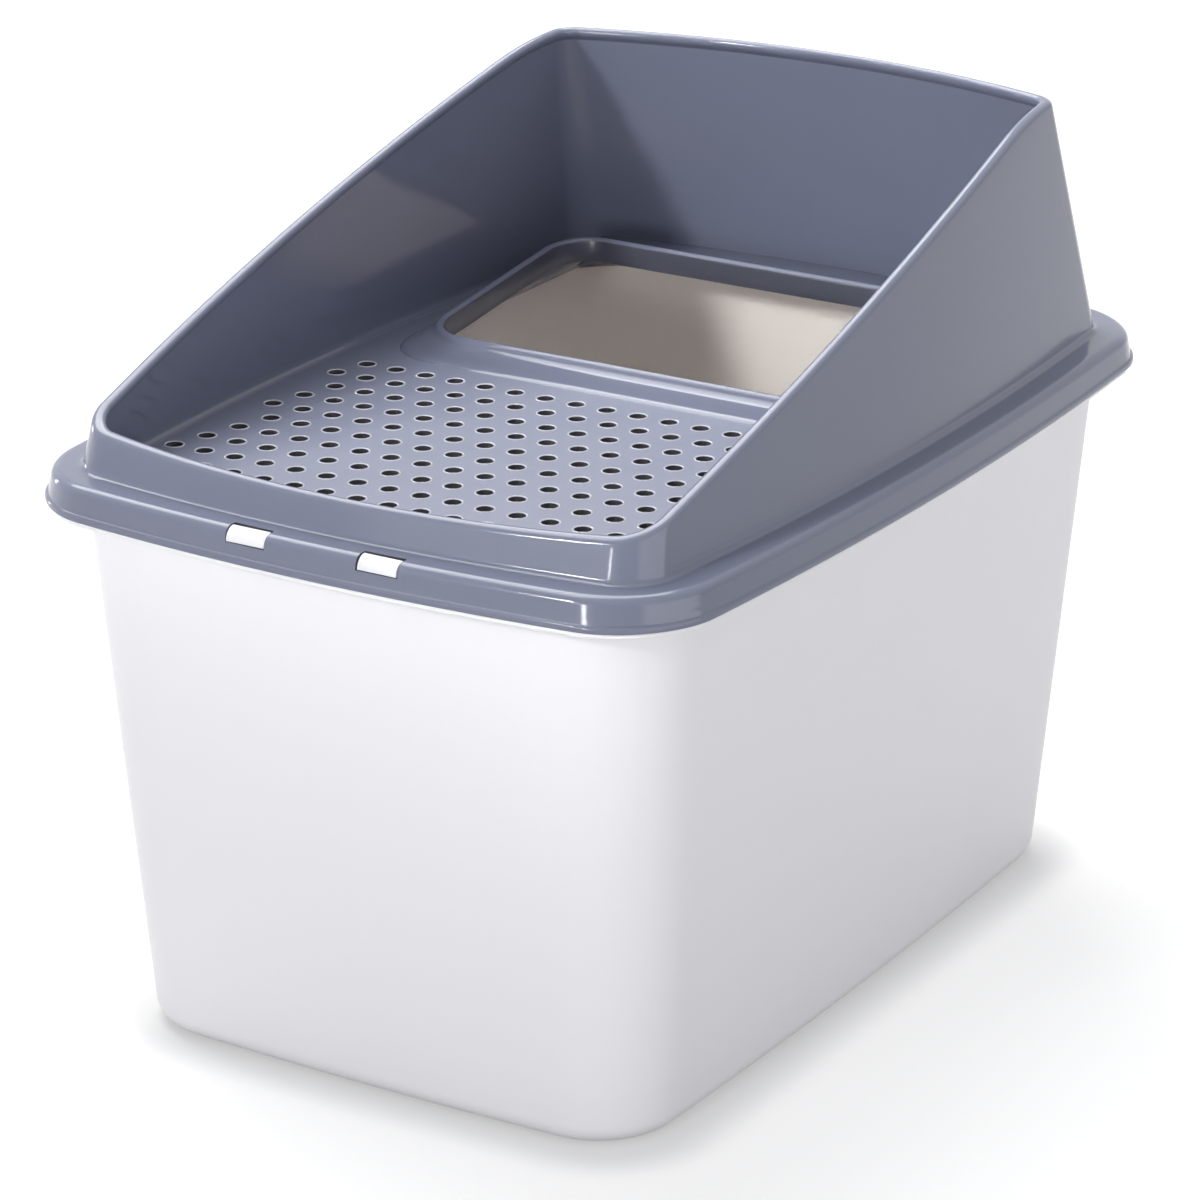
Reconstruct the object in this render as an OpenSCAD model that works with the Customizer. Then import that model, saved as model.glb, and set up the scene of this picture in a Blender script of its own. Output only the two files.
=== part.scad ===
// Top entry litter box: an open tub, a one-piece lid with a sloping hood,
// a perforated step deck and an entry opening, and four rocking latches.
// Millimetres, +Z up, the front towards -Y, the origin on the floor under the middle.

/* [Overall] */
// Outside width of the lid's rim
rim_w = 400; // [360:5:440]
// Outside length of the lid's rim
rim_l = 560; // [500:5:620]
// Height of the back wall's top above the floor
total_h = 440; // [400:2:480]
// Plan radius of the rim's corners
rim_r = 44; // [36:1:60]
// How far the long sides bow outwards
bow_x = 13; // [4:1:18]
// How far the front and back bow outwards
bow_y = 14; // [4:1:18]

/* [Tub] */
// Width of the tub at the floor
floor_w = 314; // [280:2:330]
// Length of the tub at the floor
floor_l = 474; // [430:2:490]
// Plan radius of the tub's corners at the floor
floor_r = 42; // [30:1:60]
// Height of the top of the flange that the lid's skirt stands over
flange_z = 288.6; // [270:0.2:300]
// Thickness of the flange
flange_t = 2.8; // [2:0.2:4]
// Thickness of the tub's walls and floor
tub_t = 3; // [2.4:0.2:4]
// Radius of the rounded edge between the walls and the floor
floor_edge_r = 12; // [6:1:16]

/* [Lid] */
// Height of the skirt's lower edge above the floor
skirt_z = 289; // [272:1:300]
// Height of the skirt, from its lower edge to the ledge
skirt_h = 17; // [16:0.5:20]
// Thickness of the ledge and the deck
deck_t = 2.8; // [2.4:0.2:3.4]
// How far the deck lies below the ledge
deck_drop = 8; // [6:0.5:12]
// Height of the low front lip above the ledge
lip_h = 15; // [12:0.5:24]
// Distance from the rim's outline to the foot of the hood's wall
hood_inset = 20.6; // [20:0.2:24]
// Distance from the rim's outline to the foot of the hood's back wall
hood_back_inset = 25; // [22:0.2:34]
// How far the side walls lean inwards for each unit of height
side_lean = 0.13; // [0.04:0.002:0.14]
// How far the front lip leans back for each unit of height
front_lean = 0.22; // [0.05:0.01:0.3]
// How far the back wall leans forwards for each unit of height
back_lean = 0.22; // [0.05:0.01:0.35]
// Plan radius of the hood's corners at its foot
hood_r = 20; // [16:1:30]
// Plan radius of the hood's corners at the full height
hood_top_r = 11; // [10:1:30]
// How far the hood's sides bow outwards at the full height
top_bow_x = 8; // [4:1:18]
// How far the hood's front and back bow outwards at the full height
top_bow_y = 27; // [4:1:30]
// Where the side walls start to rise, from the middle
slope_y0 = -263; // [-270:1:-240]
// Where the side walls reach full height, from the middle
slope_y1 = 166; // [120:1:200]

/* [Step deck] */
// Diameter of each hole
hole_d = 9.6; // [7:0.2:11]
// Spacing of the holes along a row
hole_pitch = 18.8; // [16:0.2:22]
// Sideways shift from one row to the next
row_shift = 13; // [6:0.5:14]
// Spacing of the rows
row_pitch = 20.3; // [18:0.1:24]
// Distance of the last row from the middle, towards the front
last_row = 7.5; // [6:0.5:20]
// Number of rows
rows = 11; // [6:1:11]

/* [Entry opening] */
// Width of the opening
entry_w = 286; // [220:2:290]
// Length of the opening, along the box
entry_l = 146; // [120:1:150]
// Where the opening starts behind the middle
entry_y0 = 44; // [36:1:50]
// Plan radius of the opening's corners
entry_r = 22; // [14:1:30]
// Rise of the opening's edge above the deck at its front
entry_rise_front = 7; // [6:0.5:10]
// Rise of the opening's edge above the deck at its back
entry_rise_back = 24; // [18:0.5:26]
// Height of the step in front of the opening
step_h = 2.8; // [2.6:0.1:4]
// Height of the platform above the deck at the back wall
platform_h = 10.5; // [8:0.5:12]

/* [Latches] */
// Width of a latch
latch_w = 22; // [18:1:26]
// Distance of each latch from the middle of its edge
latch_x = 38; // [30:1:50]
// Radius of the latch's rounded face about its pivot
latch_r = 6.6; // [6:0.1:6.7]
// Diameter of the pivot pins on the latch's ends
pin_d = 3; // [2.4:0.1:3.2]

/* [Hidden] */

arc_steps = 8;        // facets round each plan corner
side_steps = 8;       // facets along each side
side_n = arc_steps + side_steps;
ring_n = 4 * side_n;  // points on one outline

ledge_z = skirt_z + skirt_h;
ledge_under_z = ledge_z - deck_t - 0.2;
deck_z = ledge_z - deck_drop;
deck_under_z = deck_z - deck_t;
tub_wall_inset = 17;       // from the rim's outline to the tub's wall
flange_inset = 2;          // from the rim's outline to the flange's edge
tub_top_z = ledge_under_z; // the lid's ledge rests on the tub's upper edge
edge_inset = 16.6;         // from the rim's outline to that edge's outer face
foot_z = ledge_z + 3;      // where the hood's wall starts to lean
lip_w = 6.4;               // width of the hood's rolled upper edge
lip_drop = 8;              // height over which that edge thins to the wall
hood_t = 3.2;              // thickness of the hood's wall
slope_crown = 0.09;        // how much the slope swells above a straight line
foot_fillet = 4.6;         // curve between the hood's inside and the deck
pin_gap = 0.2;             // radial clearance of the pins in their brackets

// ---- outlines -------------------------------------------------------------

function mix(a, b, t) = a + (b - a) * t;
function sign_x(i) = i < 2 ? 1 : -1;
function sign_y(i) = (i == 1 || i == 2) ? 1 : -1;

// A point on the corner arc i, t degrees round it, of a rounded rectangle
// with half sizes a and b.
function corner_point(i, t, a, b, r) = [
    sign_x(i) * (a - r) + r * cos(90 * i - 90 + t),
    sign_y(i) * (b - r) + r * sin(90 * i - 90 + t)
];

// Point j of a rounded rectangle, counted anticlockwise from the front right.
function rect_point(j, a, b, r, arcs, sides) =
    let (n = arcs + sides, i = floor(j / n), k = j % n)
    k <= arcs
        ? corner_point(i, 90 * k / arcs, a, b, r)
        : mix(corner_point(i, 90, a, b, r), corner_point((i + 1) % 4, 0, a, b, r), (k - arcs) / sides);

// The same point with every side swollen outwards by bx and by at its middle.
function bowed(p, a, b, bx, by) = [
    p.x * (1 + bx / a * (1 - pow(p.y / b, 2))),
    p.y * (1 + by / b * (1 - pow(p.x / a, 2)))
];

function outline_point(j, w, l, r, bx, by) =
    let (a = w / 2 - bx, b = l / 2 - by)
    bowed(rect_point(j, a, b, r, arc_steps, side_steps), a, b, bx, by);

// A point of the rim's outline, moved inwards by e.
function rim_point(j, e) = outline_point(j, rim_w - 2 * e, rim_l - 2 * e, rim_r - 0.3 * e, bow_x, bow_y);
function rim_ring(e, z) = [for (j = [0 : ring_n - 1]) concat(rim_point(j, e), z)];

// A point of the hood's outline at the height z of its wall, moved inwards by in.
function hood_point(j, z, in) =
    let (
        h = z - foot_z,
        s = h / (total_h - foot_z),
        front = rim_l / 2 - hood_inset - in - front_lean * h,
        back = rim_l / 2 - hood_back_inset - in - back_lean * h,
        p = outline_point(
            j,
            rim_w - 2 * (hood_inset + in + side_lean * h),
            front + back,
            max(mix(hood_r, hood_top_r, s) - 0.7 * in, 5),
            mix(bow_x, top_bow_x, s),
            mix(bow_y, top_bow_y, s)
        )
    )
    p + [0, (back - front) / 2];
function foot_level(in, z) = [for (j = [0 : ring_n - 1]) concat(hood_point(j, foot_z, in), z)];

// A point of the tub's upper edge, which runs parallel to the hood's corners.
function edge_level(e, z) = [
    for (j = [0 : ring_n - 1])
        concat(outline_point(j, rim_w - 2 * e, rim_l - 2 * e, hood_r + 0.7 * (hood_inset - e), bow_x, bow_y), z)
];

// A closed skin through rings of points. With close = true the last ring joins
// the first, otherwise the first and last rings are filled.
module skin(rings, close) {
    n = len(rings[0]);
    m = len(rings);
    last = close ? m : m - 1;
    sides = [
        for (i = [0 : last - 1], j = [0 : n - 1])
            let (p = i * n, q = ((i + 1) % m) * n, k = (j + 1) % n)
            each [[p + j, q + j, q + k], [p + j, q + k, p + k]]
    ];
    caps = close ? [] : [[for (j = [0 : n - 1]) j], [for (j = [n - 1 : -1 : 0]) (m - 1) * n + j]];
    polyhedron(points = [for (r = rings) each r], faces = concat(sides, caps), convexity = 12);
}

// ---- tub ------------------------------------------------------------------

// The tub's outline at height z, moved inwards by e.
function tub_point(j, z, e) =
    let (t = z / flange_z)
    outline_point(
        j,
        mix(floor_w, rim_w - 2 * tub_wall_inset, t) - 2 * e,
        mix(floor_l, rim_l - 2 * tub_wall_inset, t) - 2 * e,
        mix(floor_r, rim_r - 0.3 * tub_wall_inset, t) - e,
        mix(5, bow_x, t),
        mix(4, bow_y, t)
    );
function tub_ring(z, e) = [for (j = [0 : ring_n - 1]) concat(tub_point(j, z, e), z)];

module tub() {
    steps = 4;
    inner_r = floor_edge_r - tub_t;
    under = flange_z - flange_t;
    outside = concat(
        [for (k = [0 : steps])
            let (t = 90 * k / steps)
            tub_ring(floor_edge_r * (1 - cos(t)), floor_edge_r * (1 - sin(t)))],
        [tub_ring(flange_z / 2, 0), tub_ring(under - 2, 0)]
    );
    rim = [
        rim_ring(tub_wall_inset - 1, under),
        rim_ring(flange_inset + 0.6, under),
        rim_ring(flange_inset, under + 0.7),
        rim_ring(flange_inset, flange_z - 0.7),
        rim_ring(flange_inset + 0.6, flange_z),
        edge_level(edge_inset, flange_z),
        edge_level(edge_inset, tub_top_z - 0.6),
        edge_level(edge_inset + 0.6, tub_top_z),
        edge_level(edge_inset + 2.5, tub_top_z),
        edge_level(edge_inset + 3.1, tub_top_z - 0.6),
        edge_level(edge_inset + 3.1, flange_z + 0.6)
    ];
    inside = concat(
        [tub_ring(flange_z - 0.1, tub_t), tub_ring(under - 2, tub_t), tub_ring(flange_z / 2, tub_t)],
        [for (k = [steps : -1 : 0])
            let (t = 90 * k / steps)
            tub_ring(tub_t + inner_r * (1 - cos(t)), tub_t + inner_r * (1 - sin(t)))]
    );
    color("white")
        skin(concat(outside, rim, inside), false);
}

// ---- lid ------------------------------------------------------------------

function soft_max(a, b, k) = max(a, b) + pow(max(k - abs(a - b), 0), 2) / (4 * k);

// Height of the hood's upper edge at a distance y behind the middle.
function hood_top(y) =
    let (
        low = ledge_z + lip_h,
        t = (y - slope_y0) / (slope_y1 - slope_y0),
        line = mix(low, total_h, t + slope_crown * t * (1 - t))
    )
    soft_max(low, -soft_max(-line, -total_h, 8), 5);

// The rim's section as [distance inwards, height], from the skirt's lower edge
// over the ledge and up to the foot of the hood.
skirt_round = 5;
skirt_section = concat(
    [[3.6, skirt_z], [0.6, skirt_z], [0, skirt_z + 0.9], [0, skirt_z + 2.6], [0.5, skirt_z + 4.2],
     [1.4, skirt_z + 5.4]],
    [for (k = [0 : 3])
        let (t = 30 * k)
        [2.6 + skirt_round * (1 - cos(t)), ledge_z - skirt_round * (1 - sin(t))]]
);
// The foot of the hood's outside as [distance inwards from the wall, height].
foot_section = [[-3.2, ledge_z], [-1, ledge_z + 0.9], [0, foot_z]];
// From the hood's inside over the fillet and round the deck's outer edge.
wall_in = hood_t + 0.2;
inner_section = concat(
    [for (k = [0 : 3])
        let (t = 28 * k)
        [wall_in + foot_fillet * (1 - cos(t)), deck_z + foot_fillet * (1 - sin(t)) - 0.3]],
    [
        [wall_in + 2, deck_under_z - 0.6],
        [0.8, deck_under_z - 0.2],
        [0.2, ledge_under_z - 0.6],
        [-0.4, ledge_under_z]
    ]
);
under_section = [[7.4, ledge_under_z], [5.6, ledge_under_z - 1], [4.6, ledge_under_z - 3.5]];

// A ring on the hood's upper edge: in is measured inwards from the wall's
// outer face, down is measured from the top.
function hood_ring(in, down) = [
    for (j = [0 : ring_n - 1])
        let (
            guess = hood_top(hood_point(j, foot_z, 0).y),
            z = hood_top(hood_point(j, guess, 0).y) - down
        )
        concat(hood_point(j, z, in), z)
];

module rim_and_hood() {
    lip = [
        for (k = [0 : 4])
            let (t = 45 * k)
            hood_ring(lip_w / 2 * (1 - cos(t)), 2.8 * (1 - sin(t)))
    ];
    skin(concat(
        [for (s = skirt_section) rim_ring(s[0], s[1])],
        [for (s = foot_section) foot_level(s[0], s[1])],
        lip,
        [hood_ring(lip_w, 4.4), hood_ring(hood_t, lip_drop)],
        [for (s = inner_section) foot_level(s[0], s[1])],
        [for (s = under_section) rim_ring(s[0], s[1])]
    ), true);
}

// True where a hole at p lies wholly on the flat of the deck.
function on_deck(p) =
    let (
        e = hood_inset + wall_in + foot_fillet + hole_d / 2 + 1.5,
        a = rim_w / 2 - bow_x - e,
        b = rim_l / 2 - bow_y - e,
        r = 14
    )
    abs(p.x) < a + bow_x * (1 - pow(p.y / b, 2))
    && norm([max(abs(p.x) - a + r, 0), max(-p.y - b + r, 0)]) < r + 6;

module deck_holes() {
    for (k = [0 : rows - 1], i = [-20 : 10]) {
        p = [1.5 + hole_pitch * i + row_shift * k, -last_row - row_pitch * k];
        if (on_deck(p))
            translate(p)
                circle(d = hole_d, $fn = 24);
    }
}

module deck() {
    translate([0, 0, deck_under_z])
        linear_extrude(deck_t)
            difference() {
                polygon([for (j = [0 : ring_n - 1]) hood_point(j, foot_z, wall_in + 1.2)]);
                polygon([for (p = foot_ring(1.7, 0)) [p.x, p.y]]);
                deck_holes();
            }
}

// The platform and the collar round the entry opening.
frame_arcs = 6;
frame_sides = 3;
frame_n = 4 * (frame_arcs + frame_sides);
side_margin = 13;   // from the opening's edge to the platform's side
front_margin = 33;  // from the opening's edge to the step
foot_r = 34;        // plan radius of the platform's corners
function entry_z(y) = deck_z + mix(entry_rise_front, entry_rise_back, (y - entry_y0) / entry_l);
function platform_z(y) = deck_z + mix(step_h, platform_h, (y - entry_y0 + front_margin) / 240);

// A ring round the opening, grow outside its edge and down below it.
function edge_ring(grow, down) = [
    for (j = [0 : frame_n - 1])
        let (
            c = [0, entry_y0 + entry_l / 2],
            p = c + rect_point(j, entry_w / 2 + grow, entry_l / 2 + grow, entry_r + grow, frame_arcs, frame_sides)
        )
        concat(p, entry_z(p.y) - down)
];

// A ring on the platform's outline, moved inwards by in, at the share up of
// the platform's height and raised by lift.
function foot_ring(in, up, lift = 0) = [
    for (j = [0 : frame_n - 1])
        let (
            y0 = entry_y0 - front_margin + in,
            y1 = rim_l / 2 - 16 - in,
            p = rect_point(j, entry_w / 2 + side_margin - in, (y1 - y0) / 2, foot_r - in, frame_arcs, frame_sides)
                + [0, (y0 + y1) / 2]
        )
        concat(p, mix(deck_z, platform_z(p.y), up) + lift)
];

module entry_frame() {
    intersection() {
        skin([
            foot_ring(0, 0, -deck_t - 0.3),
            foot_ring(0, 0.15),
            foot_ring(0.8, 0.6),
            foot_ring(2.4, 0.92),
            foot_ring(5, 1),
            edge_ring(6, 2.9),
            edge_ring(4.6, 1.2),
            edge_ring(3.2, 0.3),
            edge_ring(1.8, 0),
            edge_ring(0.6, 0.5),
            edge_ring(0, 1.6),
            edge_ring(-1, 13),
            edge_ring(1.4, 13),
            edge_ring(3, 6),
            foot_ring(8, 1, -2.8),
            foot_ring(3.4, 0, -deck_t - 0.3)
        ], true);
        translate([0, 0, deck_under_z - 5])
            linear_extrude(60)
                polygon([for (j = [0 : ring_n - 1]) hood_point(j, foot_z, 1.8)]);
    }
}

// Where a latch pivots: outwards is -Y at the front and +Y at the back.
latch_e = 9;
latch_z = ledge_z - 6.8;
latch_y = rim_l / 2 - bow_y * pow(latch_x / (rim_w / 2 - bow_x), 2) - latch_e;

// Puts a latch's own frame (X along the edge, Y outwards) at its place.
module at_latch(side, end) {
    translate([side * latch_x, end * latch_y, latch_z])
        mirror([0, end < 0 ? 1 : 0, 0])
            children();
}

// The two brackets that carry a latch's pins, under the ledge.
module latch_brackets() {
    top = ledge_under_z - latch_z + 0.6;
    for (s = [-1, 1])
        translate([s * (latch_w / 2 + 2.5) - 1.5, -3.6, -3.2])
            cube([3, 6.4, 3.2 + top]);
}

module latch_window() {
    translate([-latch_w / 2 - 0.7, -2, -0.4])
        cube([latch_w + 1.4, 16, 14]);
    rotate([0, 90, 0])
        cylinder(d = pin_d + 2 * pin_gap, h = latch_w + 12, center = true, $fn = 48);
}

module lid() {
    color("slategray")
        difference() {
            union() {
                rim_and_hood();
                deck();
                entry_frame();
                for (side = [-1, 1], end = [-1, 1])
                    at_latch(side, end)
                        latch_brackets();
            }
            for (side = [-1, 1], end = [-1, 1])
                at_latch(side, end)
                    latch_window();
        }
}

// ---- latches --------------------------------------------------------------

// A rocking latch: a rounded face on a pivot, and an arm that reaches down to
// the outside of the tub's edge.
module latch_body() {
    arm_in = 1.4;
    arm_t = 2.4;
    arm_down = 7.4;
    nose = edge_inset - 0.3 - latch_e;
    rotate([90, 0, 90])
        translate([0, 0, -latch_w / 2])
            linear_extrude(latch_w)
                union() {
                    intersection() {
                        circle(r = latch_r, $fn = 96);
                        translate([0, 0.1])
                            square([latch_r + 1, latch_r + 1]);
                    }
                    circle(r = 2.4, $fn = 48);
                    translate([-arm_in - arm_t / 2, -arm_down])
                        square([arm_t, arm_down]);
                    polygon([
                        [-arm_in, -arm_down],
                        [-nose + 1, -arm_down],
                        [-nose, -arm_down + 1.6],
                        [-nose, -arm_down + 2.6],
                        [-arm_in, -arm_down + 4]
                    ]);
                }
    rotate([0, 90, 0])
        cylinder(d = pin_d, h = latch_w + 7.6, center = true, $fn = 48);
}

module latch(side, end) {
    color("whitesmoke")
        at_latch(side, end)
            latch_body();
}

tub();
lid();
latch(-1, -1);  // latch_front_left
latch(1, -1);  // latch_front_right
latch(-1, 1);  // latch_rear_left
latch(1, 1);  // latch_rear_right
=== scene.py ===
import math

import bmesh
import bpy
from mathutils import Matrix, Vector


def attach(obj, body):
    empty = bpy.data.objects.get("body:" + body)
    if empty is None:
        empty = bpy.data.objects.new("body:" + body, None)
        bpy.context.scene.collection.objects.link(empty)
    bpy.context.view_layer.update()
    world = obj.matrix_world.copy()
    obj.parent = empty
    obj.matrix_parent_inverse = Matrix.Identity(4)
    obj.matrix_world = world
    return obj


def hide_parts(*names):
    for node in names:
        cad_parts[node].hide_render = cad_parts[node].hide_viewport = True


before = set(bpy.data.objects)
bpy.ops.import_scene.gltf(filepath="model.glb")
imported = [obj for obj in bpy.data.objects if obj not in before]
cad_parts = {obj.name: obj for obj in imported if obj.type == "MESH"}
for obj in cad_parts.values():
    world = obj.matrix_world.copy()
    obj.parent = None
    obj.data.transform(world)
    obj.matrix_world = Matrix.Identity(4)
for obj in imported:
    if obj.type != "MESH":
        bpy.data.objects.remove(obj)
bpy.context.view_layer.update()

# ---------------------------------------------------------------- sizes, mm
MM = 0.001

# the rim, which is the lid's widest outline, with sides that bow outwards
RIM_W, RIM_L, RIM_R = 400.0, 560.0, 44.0
BOW_X, BOW_Y = 13.0, 14.0
RIM_R_LOSS = 0.3  # corner radius lost per mm that a ring moves inwards
SKIRT_Z, SKIRT_H = 289.0, 17.0
LEDGE_Z = SKIRT_Z + SKIRT_H
LEDGE_UNDER_Z = LEDGE_Z - 3.0
LEDGE_ROUND, LEDGE_EDGE = 5.0, 7.6
DECK_Z = LEDGE_Z - 8.0
DECK_T = 2.8
DECK_UNDER_Z = DECK_Z - DECK_T

# the hood: its wall leans from FOOT_Z up to a sloping, rolled upper edge
TOTAL_H = 440.0
FOOT_Z = LEDGE_Z + 3.0
HOOD_FOOT_R = 3.4
LIP_Z = LEDGE_Z + 15.0
LIP_W, LIP_ROUND = 6.4, 2.8
HOOD_INSET, HOOD_BACK_INSET, HOOD_T = 20.6, 25.0, 3.2
SIDE_LEAN, FRONT_LEAN, BACK_LEAN = 0.13, 0.22, 0.22
HOOD_R, HOOD_TOP_R, HOOD_MIN_R = 20.0, 11.0, 5.0
HOOD_R_LOSS = 0.7  # corner radius lost per mm that a ring moves inwards
TOP_BOW_X, TOP_BOW_Y = 8.0, 27.0
SLOPE_Y0, SLOPE_Y1, SLOPE_CROWN = -263.0, 166.0, 0.09
LIP_BLEND, TOP_BLEND = 5.0, 8.0
WALL_IN = HOOD_T + 0.2
FOOT_FILLET = 4.6

# the tub, from its floor to the flange and the upstanding edge under the lid
FLOOR_W, FLOOR_L, FLOOR_R = 314.0, 474.0, 42.0
FLOOR_BOW_X, FLOOR_BOW_Y = 5.0, 4.0
FLOOR_EDGE_R = 12.0
TUB_T, TUB_WALL_INSET = 3.0, 17.0
TUB_WALL_ZS = (40, 90, 150, 210, 260)
FLANGE_Z, FLANGE_T, FLANGE_INSET, FLANGE_ROUND = 288.6, 2.8, 2.0, 1.0
EDGE_INSET, EDGE_T, EDGE_ROUND = 16.6, 3.1, 0.8

# the deck's holes, in rows that shift sideways one after another
HOLE_R, HOLE_SIDES = 4.8, 16
HOLE_RIM, HOLE_RIM_H, HOLE_INSET = 0.7, 0.3, 0.35
HOLE_PITCH, ROW_PITCH, ROW_SHIFT = 18.8, 20.3, 13.0
FIRST_HOLE_X, LAST_ROW, ROWS = 1.5, 7.5, 11
HOLE_MARGIN, FIELD_R, FIELD_CORNER = 1.5, 14.0, 6.0

# the entry opening, its collar and the platform that carries it
ENTRY_W, ENTRY_L, ENTRY_Y0, ENTRY_R = 286.0, 146.0, 44.0, 22.0
ENTRY_FRONT, ENTRY_BACK = 7.0, 24.0
STEP_H, PLATFORM_H, PLATFORM_L = 1.4, 10.5, 240.0
SIDE_MARGIN, FRONT_MARGIN, PLATFORM_R = 13.0, 33.0, 34.0
PLATFORM_COVER, CUT_BACK_Y, PLATFORM_BACK_INSET = 1.7, 236.0, 16.0

# the latches and the windows that they show in
LATCH_W, LATCH_X, LATCH_E = 22.0, 38.0, 9.0
LATCH_Z = LEDGE_Z - 6.8
LATCH_ZONE = 62.0  # beyond this x the short sides' stations spread out
LATCH_BEVEL = 0.3
END_ZONE = 30.0  # the stretch at either end of the lid that holds the windows
WINDOW_W = LATCH_W + 1.4
WINDOW_Z = LATCH_Z - 0.4
WINDOW_E = LATCH_E + 2.0

# the finishes of each piece, in the order of its materials
# the inside faces take painted warm light in the tub and painted shade in the collar
OUTSIDE, PAINTED_INSIDE = 0, 1
WALL, DECK, PAINTED_SHADE, PAINTED_HIGHLIGHT = 0, 1, 2, 3


# ---------------------------------------------------------------- outlines
FRAME_ARCS, FRAME_SIDES = 12, 8  # steps of the platform's corners and sides


def mix(a, b, t):
    return a + (b - a) * t


SIGNS = ((1, -1), (1, 1), (-1, 1), (-1, -1))


def corner_point(i, share, a, b, r):
    turn = math.radians(90 * (i - 1 + share))
    return (
        SIGNS[i][0] * (a - r) + r * math.cos(turn),
        SIGNS[i][1] * (b - r) + r * math.sin(turn),
    )


def stations(arc_steps, long_steps, short_xs):
    """The places round an outline: on each corner, then along the side after it."""
    found = []
    for i in range(4):
        found += [("arc", i, k / arc_steps) for k in range(arc_steps + 1)]
        if i % 2 == 0:
            found += [("side", i, k / long_steps) for k in range(1, long_steps)]
        else:
            xs = sorted(short_xs, reverse=(i == 1))
            found += [("cross", i, x) for x in xs]
    return found


def at_station(station, a, b, r):
    kind, i, value = station
    if kind == "arc":
        return corner_point(i, value, a, b, r)
    if kind == "side":
        p = corner_point(i, 1, a, b, r)
        q = corner_point((i + 1) % 4, 0, a, b, r)
        return mix(p[0], q[0], value), mix(p[1], q[1], value)
    # a cross station keeps its own x near the latches and spreads beyond them
    side = b if i == 1 else -b
    near, far, reach = LATCH_ZONE, RIM_W / 2 - BOW_X - RIM_R, a - r
    x = abs(value)
    if x > near:
        x = near + (x - near) * (reach - near) / (far - near)
    return math.copysign(x, value), side


def outline(places, w, l, r, bx, by):
    """A rounded rectangle of points whose sides bow outwards by bx and by."""
    a, b = w / 2 - bx, l / 2 - by
    points = []
    for place in places:
        x, y = at_station(place, a, b, r)
        points.append(
            (
                x * (1 + bx / a * (1 - (y / b) ** 2)),
                y * (1 + by / b * (1 - (x / a) ** 2)),
            )
        )
    return points


CROSS_XS = (6, 13, 20, 26.3, 30, 34, 38, 42, 46, 49.7, 56, 64, 75, 87, 99, 111, 123, 134)
ARC_STEPS, LONG_STEPS = 18, 36
ROUND = stations(ARC_STEPS, LONG_STEPS, [s * x for s in (-1, 1) for x in CROSS_XS] + [0])


def rim(e):
    """The rim's outline, moved inwards by e."""
    return outline(ROUND, RIM_W - 2 * e, RIM_L - 2 * e, RIM_R - RIM_R_LOSS * e, BOW_X, BOW_Y)


def tub_edge(e):
    """The tub's upper edge, which follows the hood's tighter corners."""
    r = HOOD_R + HOOD_R_LOSS * (HOOD_INSET - e)
    return outline(ROUND, RIM_W - 2 * e, RIM_L - 2 * e, r, BOW_X, BOW_Y)


def hood_sizes(z, inward):
    """The hood's outline at the height z of its wall: width, length, radius, bows, middle."""
    h = z - FOOT_Z
    s = h / (TOTAL_H - FOOT_Z)
    front = RIM_L / 2 - HOOD_INSET - inward - FRONT_LEAN * h
    back = RIM_L / 2 - HOOD_BACK_INSET - inward - BACK_LEAN * h
    return (
        RIM_W - 2 * (HOOD_INSET + inward + SIDE_LEAN * h),
        front + back,
        max(mix(HOOD_R, HOOD_TOP_R, s) - HOOD_R_LOSS * inward, HOOD_MIN_R),
        mix(BOW_X, TOP_BOW_X, s),
        mix(BOW_Y, TOP_BOW_Y, s),
        (back - front) / 2,
    )


def hood_point(place, z, inward):
    w, l, r, bx, by, middle = hood_sizes(z, inward)
    x, y = outline([place], w, l, r, bx, by)[0]
    return x, y + middle


def hood_foot(inward):
    return [hood_point(place, FOOT_Z, inward) for place in ROUND]


def level(points, z):
    return [Vector((x, y, z)) * MM for x, y in points]


def arc_section(ce, cz, r, start, end, steps):
    """Points of [distance inwards, height] on an arc, in degrees."""
    turns = [math.radians(mix(start, end, k / steps)) for k in range(steps + 1)]
    return [(ce + r * math.cos(t), cz + r * math.sin(t)) for t in turns]


def rounded_rectangle(x, y0, y1, r, arc_steps, side_steps):
    half_l, cy = (y1 - y0) / 2, (y0 + y1) / 2
    points = []
    for i in range(4):
        points += [corner_point(i, k / arc_steps, x, half_l, r) for k in range(arc_steps + 1)]
        p = corner_point(i, 1, x, half_l, r)
        q = corner_point((i + 1) % 4, 0, x, half_l, r)
        points += [
            (mix(p[0], q[0], k / side_steps), mix(p[1], q[1], k / side_steps))
            for k in range(1, side_steps)
        ]
    return [(px, py + cy) for px, py in points]


# ---------------------------------------------------------------- mesh tools
def first_loop(bm, points):
    verts = bmesh.ops.create_circle(bm, segments=len(points), radius=1.0)["verts"]
    for v, p in zip(verts, points):
        v.co = p
    return verts


def loop_edges(bm, verts):
    n = len(verts)
    return [bm.edges.get((verts[k], verts[(k + 1) % n])) for k in range(n)]


def next_loop(bm, verts, points):
    """Extrudes a loop and puts the new one on the given points."""
    place = {tuple(v.co): k for k, v in enumerate(verts)}
    made = bmesh.ops.extrude_edge_only(bm, edges=loop_edges(bm, verts))
    grown = [None] * len(verts)
    for v in made["geom"]:
        if isinstance(v, bmesh.types.BMVert):
            grown[place[tuple(v.co)]] = v
    for v, p in zip(grown, points):
        v.co = p
    return grown


def sweep(bm, rings):
    loops = [first_loop(bm, rings[0])]
    for ring in rings[1:]:
        loops.append(next_loop(bm, loops[-1], ring))
    return loops


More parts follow.
